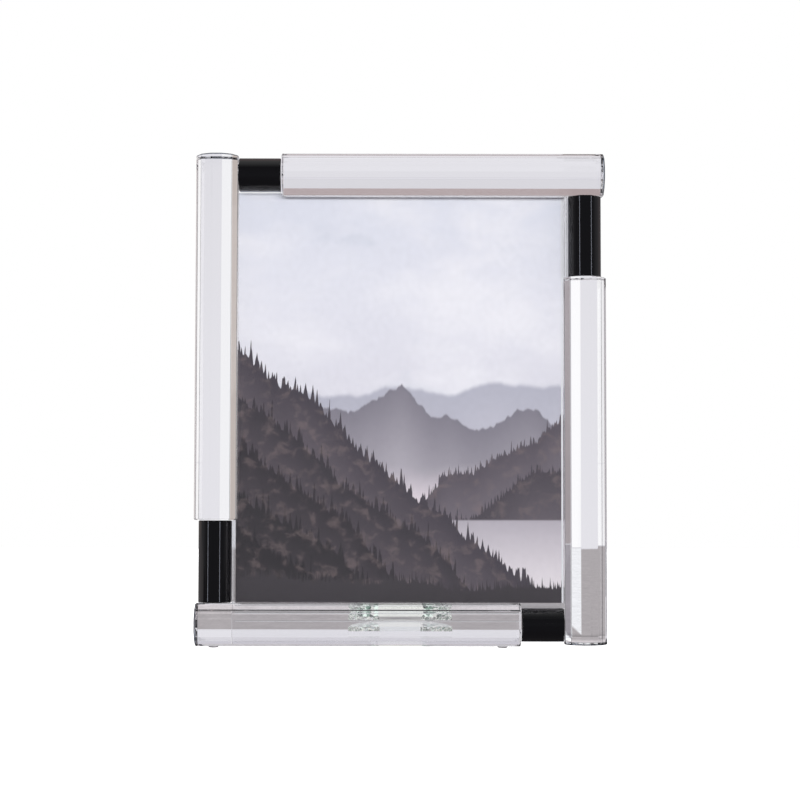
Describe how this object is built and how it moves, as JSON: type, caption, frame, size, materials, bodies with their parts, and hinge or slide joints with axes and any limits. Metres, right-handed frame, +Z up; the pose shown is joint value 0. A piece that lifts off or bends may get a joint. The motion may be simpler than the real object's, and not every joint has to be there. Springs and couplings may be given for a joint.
{
  "type": "glass picture frame",
  "caption": "Free-standing crystal picture frame for one upright print, with faceted clear bars, black glass corner blocks, a rear pocket the print lifts out of and a half-round glass foot.",
  "frame": {"origin": "middle of the footprint's bounding box, on the table", "axes": "+Z up, +X to the right seen from the front, +Y from the front to the back; the picture faces -Y and leans back"},
  "size_m": [0.252, 0.0643, 0.3023],
  "materials": {
    "crystal_glass": "polished clear glass with crisp facets",
    "black_glass": "polished opaque black glass",
    "clear_strip": "clear acrylic strip with sawn and flamed edges",
    "photo_paper": "semi-gloss photographic paper with a cloudy sky over dark hills",
    "white_card": "matt white card",
    "clear_pads": "soft clear PVC bumper"
  },
  "bodies": {
    "frame": {"left_bar": "crystal_glass", "top_bar": "crystal_glass", "right_bar": "crystal_glass", "bottom_bar": "crystal_glass", "front_pane": "crystal_glass", "rear_plate": "crystal_glass", "foot": "crystal_glass", "left_block": "black_glass", "top_block": "black_glass", "right_block": "black_glass", "bottom_block": "black_glass", "ledge": "clear_strip", "left_spacer": "clear_strip", "right_spacer": "clear_strip", "left_pad": "clear_pads", "right_pad": "clear_pads"},
    "insert": {"print": "photo_paper", "backing_card": "white_card"}
  },
  "joints": [
    {"name": "insert_lift", "type": "slide", "parent": "frame", "child": "insert", "axis": [0, 0.0698, 0.9976], "range_m": [0, 0.26]}
  ]
}
